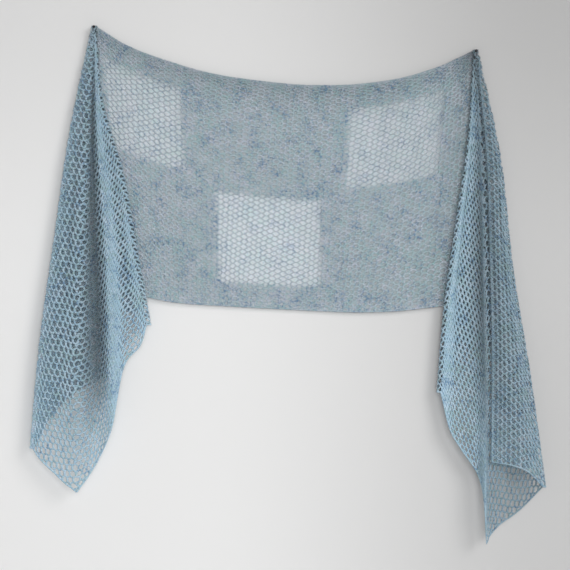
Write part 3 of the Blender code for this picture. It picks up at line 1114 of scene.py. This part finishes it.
def yarn_material(name, main, cool, warm, deep, fleck_amount, fleck_size):
    """A fuzzy heathered yarn."""
    material = bpy.data.materials.new(name)
    material.use_nodes = True
    tree = material.node_tree
    surface = tree.nodes["Principled BSDF"]
    heather = add_node(tree, "ShaderNodeGroup", -500, 0)
    heather.node_tree = heather_group()
    heather.inputs["Main"].default_value = (*main, 1.0)
    heather.inputs["Cool Fleck"].default_value = (*cool, 1.0)
    heather.inputs["Warm Fleck"].default_value = (*warm, 1.0)
    heather.inputs["Deep"].default_value = (*deep, 1.0)
    heather.inputs["Fleck Size"].default_value = fleck_size
    heather.inputs["Fleck Amount"].default_value = fleck_amount
    heather.inputs["Twist Pitch"].default_value = TWIST_PITCH
    bump = add_node(tree, "ShaderNodeBump", -250, -250, Strength=0.6, Distance=0.0003)
    join(heather, "Height", bump, "Height")
    join(heather, "Color", surface, "Base Color")
    join(heather, "Roughness", surface, "Roughness")
    join(bump, "Normal", surface, "Normal")
    surface.inputs["Sheen Weight"].default_value = 0.35
    surface.inputs["Sheen Roughness"].default_value = 0.5
    surface.inputs["Specular IOR Level"].default_value = 0.2
    return material


def haze_yarn(settings, name, main):
    """The loose fibres of the halo, made once in each colour."""
    if name in bpy.data.materials:
        return bpy.data.materials[name]
    material = yarn_material(
        name,
        tuple(part * HAZE_PALENESS for part in main),
        tuple(part * HAZE_PALENESS for part in settings.cool_fleck),
        tuple(part * HAZE_FLECK_PALENESS for part in settings.warm_fleck),
        tuple(part * HAZE_FLECK_PALENESS for part in settings.deep_fleck),
        0.9,
        HAZE_FLECK_SIZE,
    )
    tree = material.node_tree
    cover = add_node(tree, "ShaderNodeAttribute", -700, -500, attribute_name="haze_cover")
    fibres = add_node(tree, "ShaderNodeGroup", -500, -500)
    fibres.node_tree = fibre_mask_group()
    join(cover, "Fac", fibres, "Cover")
    join(fibres, "Mask", tree.nodes["Principled BSDF"], "Alpha")
    return material


def steel_material(colour):
    """Dark steel with fine turned scratches."""
    material = bpy.data.materials.new("Dark Pin Steel")
    material.use_nodes = True
    tree = material.node_tree
    surface = tree.nodes["Principled BSDF"]
    place = add_node(tree, "ShaderNodeTexCoord", -900, 0)
    grain = add_node(tree, "ShaderNodeTexNoise", -700, 0, Scale=2500.0, Detail=4.0)
    join(place, "Object", grain, "Vector")
    rough = add_node(tree, "ShaderNodeMapRange", -450, 0)
    rough.inputs["To Min"].default_value = 0.35
    rough.inputs["To Max"].default_value = 0.6
    join(grain, "Fac", rough, "Value")
    join(rough, "Result", surface, "Roughness")
    tone = add_node(tree, "ShaderNodeMix", -300, 200, data_type="RGBA")
    tone.inputs["A"].default_value = (*colour, 1.0)
    tone.inputs["B"].default_value = tuple(part * PIN_GLINT for part in colour) + (1.0,)
    join(grain, "Fac", tone, "Factor")
    join(tone, "Result", surface, "Base Color")
    surface.inputs["Metallic"].default_value = 0.7
    return material


def wall_material(colour):
    """Painted plaster that shows from the room only, with painted shade that darkens it to the
    right and upwards.
    """
    material = bpy.data.materials.new("Pale Painted Wall")
    material.use_nodes = True
    tree = material.node_tree
    surface = tree.nodes["Principled BSDF"]
    output = tree.nodes["Material Output"]
    place = add_node(tree, "ShaderNodeTexCoord", -900, 0)
    grain = add_node(tree, "ShaderNodeTexNoise", -700, 0, Scale=60.0, Detail=6.0)
    join(place, "Object", grain, "Vector")
    bump = add_node(tree, "ShaderNodeBump", -300, -200, Strength=0.08, Distance=0.001)
    join(grain, "Fac", bump, "Height")
    join(bump, "Normal", surface, "Normal")
    parts = add_node(tree, "ShaderNodeSeparateXYZ", -700, 400)
    join(place, "Object", parts, "Vector")
    # Painted shade: darker to the right and upwards.
    shade_ramps = []
    for axis, start, end, most in WALL_PAINTED_SHADE:
        shade_ramp = add_node(tree, "ShaderNodeMapRange", -500, 400, interpolation_type="SMOOTHSTEP")
        shade_ramp.inputs["From Min"].default_value = start
        shade_ramp.inputs["From Max"].default_value = end
        shade_ramp.inputs["To Max"].default_value = most
        join(parts, axis, shade_ramp, "Value")
        shade_ramps.append(shade_ramp)
    both = add_node(tree, "ShaderNodeMath", -300, 400, operation="ADD")
    join(shade_ramps[0], "Result", both, 0)
    join(shade_ramps[1], "Result", both, 1)
    paint = add_node(tree, "ShaderNodeMix", -150, 300, data_type="RGBA")
    paint.inputs["A"].default_value = (*colour, 1.0)
    paint.inputs["B"].default_value = (0.0, 0.0, 0.0, 1.0)
    join(both, 0, paint, "Factor")
    join(paint, "Result", surface, "Base Color")
    surface.inputs["Roughness"].default_value = 0.9
    surface.inputs["Specular IOR Level"].default_value = 0.2
    side = add_node(tree, "ShaderNodeNewGeometry", 0, 300)
    clear = add_node(tree, "ShaderNodeBsdfTransparent", 0, 100)
    choose = add_node(tree, "ShaderNodeMixShader", 250, 200)
    join(side, "Backfacing", choose, "Fac")
    join(surface, "BSDF", choose, 1)
    join(clear, "BSDF", choose, 2)
    join(choose, "Shader", output, "Surface")
    return material


def length_setting(name, default, least, description):
    """A setting for a length in metres."""
    return FloatProperty(
        name=name, description=description, default=default, min=least, unit="LENGTH"
    )


def share_setting(name, default, least, most, description):
    """A setting for a share."""
    return FloatProperty(
        name=name,
        description=description,
        default=default,
        min=least,
        max=most,
        subtype="FACTOR",
    )


def colour_setting(name, default, description):
    """A setting for a colour."""
    return FloatVectorProperty(
        name=name, description=description, subtype="COLOR", default=default, min=0.0, max=1.0
    )


class ShawlSettings(bpy.types.PropertyGroup):
    """Sizes and colours of the knitted net."""

    shawl_width: length_setting(
        "Shawl Width", 0.400, 0.1, "Width of the flat shawl, from selvedge to selvedge"
    )
    panel_length: length_setting(
        "Panel Length", 0.700, 0.1, "Length of the flat shawl between the pins"
    )
    left_tail_length: length_setting(
        "Left Tail Length", 0.690, 0.1, "Length of the flat shawl beyond the left pin"
    )
    right_tail_length: length_setting(
        "Right Tail Length", 0.740, 0.1, "Length of the flat shawl beyond the right pin"
    )
    row_count: IntProperty(
        name="Rows",
        description="Rows of yarn over the shawl's width between the pins",
        default=96,
        min=8,
    )
    tail_row_count: IntProperty(
        name="Tail Rows",
        description="Rows of yarn in a tail, from the pin to the hem",
        default=126,
        min=8,
    )
    hole_pitch: length_setting(
        "Hole Pitch", 0.0099, 0.002, "Distance along a row from one hole to the next column's hole"
    )
    tail_hole_pitch: length_setting(
        "Tail Hole Pitch", 0.0118, 0.002,
        "Distance along a tail's row from one hole to the next column's hole",
    )
    panel_yarn_width: length_setting(
        "Panel Yarn Width", 0.0040, 0.0005,
        "Width of the doubled yarn in the panel, as it lies on the cloth",
    )
    tail_yarn_width: length_setting(
        "Tail Yarn Width", 0.0046, 0.0005, "Width of the doubled yarn in the stretched tails"
    )
    yarn_thickness: length_setting(
        "Yarn Thickness", 0.0016, 0.0003, "Thickness of the doubled yarn, out of the cloth"
    )
    sheer_yarn_share: share_setting(
        "Sheer Yarn Share", 0.27, 0.1, 1.0,
        "Size of the single yarn in the squares, as a share of the doubled yarn",
    )
    edge_width: length_setting(
        "Edge Stitch Width", 0.0032, 0.0005, "Width of the edge stitch round the shawl"
    )
    crest_reach: share_setting(
        "Crest Reach", 0.47, 0.0, 0.5,
        "How far each row swings to its neighbours, as a share of the row spacing",
    )
    crest_squareness: FloatProperty(
        name="Crest Squareness",
        description="How long neighbour rows run together at each crest",
        default=2.3,
        min=0.1,
    )
    riser_weight: share_setting(
        "Riser Weight", 0.45, 0.0, 1.0,
        "How much thicker the yarn is between rows than at its crests",
    )
    weave_lift: FloatProperty(
        name="Weave Lift",
        description="How far each row rises and falls, as a share of the yarn's thickness",
        default=0.3,
        min=0.0,
    )
    yarn_sides: IntProperty(
        name="Yarn Sides",
        description="Sides of the yarn's section",
        default=4,
        min=3,
    )
    unevenness: share_setting("Unevenness", 0.17, 0.0, 0.5, "How uneven the hand-knitted rows are")
    ground_haze: share_setting(
        "Ground Haze", 0.40, 0.0, 1.0, "How much of the panel's dense ground the loose fibres cover"
    )
    sheer_haze: share_setting(
        "Sheer Haze", 0.28, 0.0, 1.0, "How much of the sheer squares the loose fibres cover"
    )
    main_colour: colour_setting(
        "Main Blue", (0.41, 0.50, 0.55), "Main colour of the heathered yarn"
    )
    tail_colour: colour_setting(
        "Tail Blue", (0.335, 0.50, 0.615),
        "Main colour of the yarn where it is stretched and has no halo",
    )
    cool_fleck: colour_setting("Cool Fleck", (0.33, 0.50, 0.52), "Teal fleck in the yarn")
    warm_fleck: colour_setting("Warm Fleck", (0.54, 0.58, 0.67), "Grey lavender fleck in the yarn")
    deep_fleck: colour_setting("Deep Fleck", (0.11, 0.22, 0.37), "Dark blue fleck in the yarn")


class PinSettings(bpy.types.PropertyGroup):
    """Finish of the pins."""

    steel_colour: colour_setting("Steel", (0.012, 0.012, 0.014), "Colour of the dark steel")


class StageSettings(bpy.types.PropertyGroup):
    """Wall, light and camera."""

    wall_colour: colour_setting("Wall", (0.88, 0.88, 0.88), "Colour of the painted wall")
    key_power: FloatProperty(
        name="Key Light",
        description="Power of the soft light from the upper right",
        default=140.0,
        min=0.0,
        unit="POWER",
    )
    front_power: FloatProperty(
        name="Front Light",
        description="Power of the broad light from the room",
        default=135.0,
        min=0.0,
        unit="POWER",
    )
    fill_strength: FloatProperty(
        name="Fill",
        description="Strength of the light from all round",
        default=0.22,
        min=0.0,
    )
    camera_distance: length_setting(
        "Camera Distance", 3.2, 0.5, "Distance of the camera from the cloth"
    )
    view_width: length_setting("View Width", 1.026, 0.1, "Width that the camera sees at the cloth")


def ground_yarn(settings):
    """The doubled yarn of the ground and the tails."""
    return yarn_material(
        "Doubled Blue Yarn",
        settings.main_colour,
        settings.cool_fleck,
        settings.warm_fleck,
        settings.deep_fleck,
        0.9,
        FLECK_SIZE,
    )


def sheer_yarn(settings):
    """The single yarn of the squares, a little paler."""
    return yarn_material(
        "Single Pale Yarn",
        SHEER_MAIN,
        SHEER_COOL_FLECK,
        SHEER_WARM_FLECK,
        settings.deep_fleck,
        0.7,
        FLECK_SIZE,
    )


def tail_yarn(settings):
    """The doubled yarn of the tails, where no halo greys it."""
    name = "Stretched Blue Yarn"
    if name in bpy.data.materials:
        return bpy.data.materials[name]
    return yarn_material(
        name,
        settings.tail_colour,
        tuple(part * TAIL_COOL_SHARE for part in settings.cool_fleck),
        TAIL_WARM_FLECK,
        settings.deep_fleck,
        0.8,
        FLECK_SIZE,
    )


class SHAWL_OT_panel_net(bpy.types.Operator):
    """Knit the net of the stretch between the pins"""

    bl_idname = "shawl.panel_net"
    bl_label = "Knit Panel"

    def execute(self, context):
        settings = context.scene.shawl_settings
        panel = Panel(settings.panel_length, settings.shawl_width)
        materials = [ground_yarn(settings), sheer_yarn(settings)]
        rows = settings.row_count
        yarn_width = settings.panel_yarn_width
        flat = (settings.shawl_width / 2, settings.panel_length)
        along = np.linspace(0, settings.panel_length, PANEL_EDGE_STEPS)
        halves = (
            ("upper", 0, rows // 2, EDGE_INSET),
            ("lower", rows // 2, rows, settings.shawl_width - EDGE_INSET),
        )
        for part, first, last, edge in halves:
            strands = knit_rows(panel, settings, rows, first, last, yarn_width, True)
            add_edge(strands, panel, settings, along, np.full(len(along), edge))
            net = strands.build(f"centre_panel_{part}_net", materials)
            finish_net(net, "centre_panel", flat, None, ["left_pin", "right_pin"])

        def coverage(along, below):
            sheer = sheerness(along, below)
            return settings.ground_haze + (settings.sheer_haze - settings.ground_haze) * sheer

        front = settings.yarn_thickness * 0.5
        fibres = haze_yarn(settings, "Loose Pale Fibres", settings.main_colour)
        haze = haze_sheet("centre_panel_haze", panel, coverage, front, fibres)
        finish_haze(haze, "centre_panel")
        return {"FINISHED"}


def knit_tail(settings, name, tail, pin_name):
    """Knit both halves of a tail and tie them to its solid.

    The upper half is a rectangle of the flat shawl beside the pin. The lower half is the rest of
    the tail, which goes round that rectangle on two sides.
    """
    length = tail.flat_length
    rows = settings.tail_row_count
    width = settings.shawl_width
    yarn_width = settings.tail_yarn_width
    upper = TAIL_UPPER_EDGE
    end = length - EDGE_INSET
    lower = width - EDGE_INSET
    split = round(rows * TAIL_SPLIT)
    split_length = length * split / rows
    split_width = width * split / rows
    split_area = split_length * split_width
    cuts = {
        "upper": ((split_width, split_length), split_area),
        "lower": ((width, length), width * length - split_area),
    }
    courses = {
        "upper": ((TAIL_EDGE_START, upper, split_length, upper),),
        "lower": (
            (split_length, upper, end, upper),
            (end, upper, end, lower),
            (0.0, lower, end, lower),
        ),
    }
    for part, first, last in (("upper", 0, split), ("lower", split, rows)):
        strands = knit_rows(tail, settings, rows, first, last, yarn_width, False)
        for start, top, stop, bottom in courses[part]:
            steps = round((stop - start + bottom - top) * EDGE_STEPS_PER_METRE)
            along = np.linspace(start, stop, steps)
            add_edge(strands, tail, settings, along, np.linspace(top, bottom, steps))
        net = strands.build(f"{name}_{part}_net", [tail_yarn(settings)])
        finish_net(net, name, *cuts[part], [pin_name])

    def coverage(along, below):
        line, share = tail.lines_and_shares(along.ravel(), below.ravel())
        return tail.read(tail.haze[:, :, None], line, share).reshape(along.shape)

    fibres = haze_yarn(settings, "Loose Blue Fibres", settings.tail_colour)
    haze = haze_sheet(f"{name}_haze", tail, coverage, 0.0, fibres)
    finish_haze(haze, name)


class SHAWL_OT_left_tail_net(bpy.types.Operator):
    """Knit the net of the left tail"""

    bl_idname = "shawl.left_tail_net"
    bl_label = "Knit Left Tail"

    def execute(self, context):
        settings = context.scene.shawl_settings
        tables = (LEFT_TAIL_LAYERS, LEFT_TAIL_CREASES, LEFT_TAIL_SHADING, LEFT_PIN)
        tail = Tail(*tables, settings.left_tail_length, settings.shawl_width)
        knit_tail(settings, "left_tail", tail, "left_pin")
        return {"FINISHED"}


class SHAWL_OT_right_tail_net(bpy.types.Operator):
    """Knit the net of the right tail"""

    bl_idname = "shawl.right_tail_net"
    bl_label = "Knit Right Tail"

    def execute(self, context):
        settings = context.scene.shawl_settings
        tables = (RIGHT_TAIL_LAYERS, RIGHT_TAIL_CREASES, RIGHT_TAIL_SHADING, RIGHT_PIN)
        tail = Tail(*tables, settings.right_tail_length, settings.shawl_width)
        knit_tail(settings, "right_tail", tail, "right_pin")
        return {"FINISHED"}


class SHAWL_OT_pins(bpy.types.Operator):
    """Finish the two pins in dark steel"""

    bl_idname = "shawl.pins"
    bl_label = "Finish Pins"

    def execute(self, context):
        steel = steel_material(context.scene.pin_settings.steel_colour)
        for name in ("left_pin", "right_pin"):
            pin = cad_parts[name]
            pin.data.materials.clear()
            pin.data.materials.append(steel)
        return {"FINISHED"}


def stage_plane(name, corners, material):
    """Make a flat stage surface from its corners."""
    mesh = bpy.data.meshes.new(name)
    mesh.from_pydata(corners, [], [tuple(range(len(corners)))])
    mesh.materials.append(material)
    plane = bpy.data.objects.new(name, mesh)
    bpy.context.scene.collection.objects.link(plane)
    return plane


def area_light(name, place, target, size, power, colour):
    """Add a soft light aimed at a point."""
    data = bpy.data.lights.new(name, "AREA")
    data.shape = "DISK"
    data.size = size
    data.energy = power
    data.color = colour
    light = bpy.data.objects.new(name, data)
    light.location = place
    light.rotation_euler = (Vector(target) - Vector(place)).to_track_quat("-Z", "Y").to_euler()
    bpy.context.scene.collection.objects.link(light)
    return light


class SHAWL_OT_stage(bpy.types.Operator):
    """Set up the wall, the floor, the lights and the camera"""

    bl_idname = "shawl.stage"
    bl_label = "Set Stage"

    def execute(self, context):
        settings = context.scene.stage_settings
        wall = wall_material(settings.wall_colour)
        left, right = -2.6, 3.3
        back, front = 0.0008, -3.6
        bottom, top = -1.45, 1.6
        low_edge = [(left, back, bottom), (right, back, bottom)]
        stage_plane("stage_wall", [*low_edge, (right, back, top), (left, back, top)], wall)
        near_edge = [(left, front, bottom), (right, front, bottom)]
        stage_plane("stage_floor", [*near_edge, *reversed(low_edge)], wall)
        centre = (0.3438, -0.018, -0.4644)
        key_place = (3.9, -4.4, 1.7)
        area_light("Key Light", key_place, centre, 3.2, settings.key_power, (1, 0.995, 0.985))
        front_place = (0.8, -6.0, -0.1)
        area_light("Front Light", front_place, centre, 2.6, settings.front_power, (1, 1, 1))
        world = bpy.data.worlds.new("Soft Room")
        world.use_nodes = True
        sky = world.node_tree.nodes["Background"]
        sky.inputs["Color"].default_value = (1.0, 1.0, 1.0, 1.0)
        sky.inputs["Strength"].default_value = settings.fill_strength
        context.scene.world = world

        data = bpy.data.cameras.new("Camera")
        data.sensor_width = 36.0
        data.lens = data.sensor_width * settings.camera_distance / settings.view_width
        camera = bpy.data.objects.new("Camera", data)
        camera.location = (centre[0], centre[1] - settings.camera_distance, centre[2])
        camera.rotation_euler = (math.pi / 2, 0.0, 0.0)
        context.scene.collection.objects.link(camera)
        context.scene.camera = camera
        context.scene.view_settings.view_transform = "Standard"
        return {"FINISHED"}


class SHAWL_PT_sidebar(bpy.types.Panel):
    """Sidebar panel of the shawl"""

    bl_label = "Shawl"
    bl_idname = "SHAWL_PT_sidebar"
    bl_space_type = "VIEW_3D"
    bl_region_type = "UI"
    bl_category = "Shawl"

    def draw(self, context):
        column = self.layout.column()
        groups = (
            (context.scene.shawl_settings, ShawlSettings),
            (context.scene.pin_settings, PinSettings),
            (context.scene.stage_settings, StageSettings),
        )
        for settings, kind in groups:
            for name in kind.__annotations__:
                column.prop(settings, name)
            column.separator()
        for operator in OPERATORS:
            column.operator(operator.bl_idname)


OPERATORS = (
    SHAWL_OT_stage,
    SHAWL_OT_panel_net,
    SHAWL_OT_left_tail_net,
    SHAWL_OT_right_tail_net,
    SHAWL_OT_pins,
)
CLASSES = (ShawlSettings, PinSettings, StageSettings, *OPERATORS, SHAWL_PT_sidebar)


def register():
    """Register the classes and the settings."""
    for kind in CLASSES:
        bpy.utils.register_class(kind)
    bpy.types.Scene.shawl_settings = PointerProperty(type=ShawlSettings)
    bpy.types.Scene.pin_settings = PointerProperty(type=PinSettings)
    bpy.types.Scene.stage_settings = PointerProperty(type=StageSettings)


def unregister():
    """Remove the settings and the classes."""
    del bpy.types.Scene.stage_settings
    del bpy.types.Scene.pin_settings
    del bpy.types.Scene.shawl_settings
    for kind in reversed(CLASSES):
        bpy.utils.unregister_class(kind)


def main():
    """Dress the shawl."""
    register()
    bpy.ops.shawl.stage()
    bpy.ops.shawl.panel_net()
    bpy.ops.shawl.left_tail_net()
    bpy.ops.shawl.right_tail_net()
    bpy.ops.shawl.pins()
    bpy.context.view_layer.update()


if __name__ == "__main__":
    main()
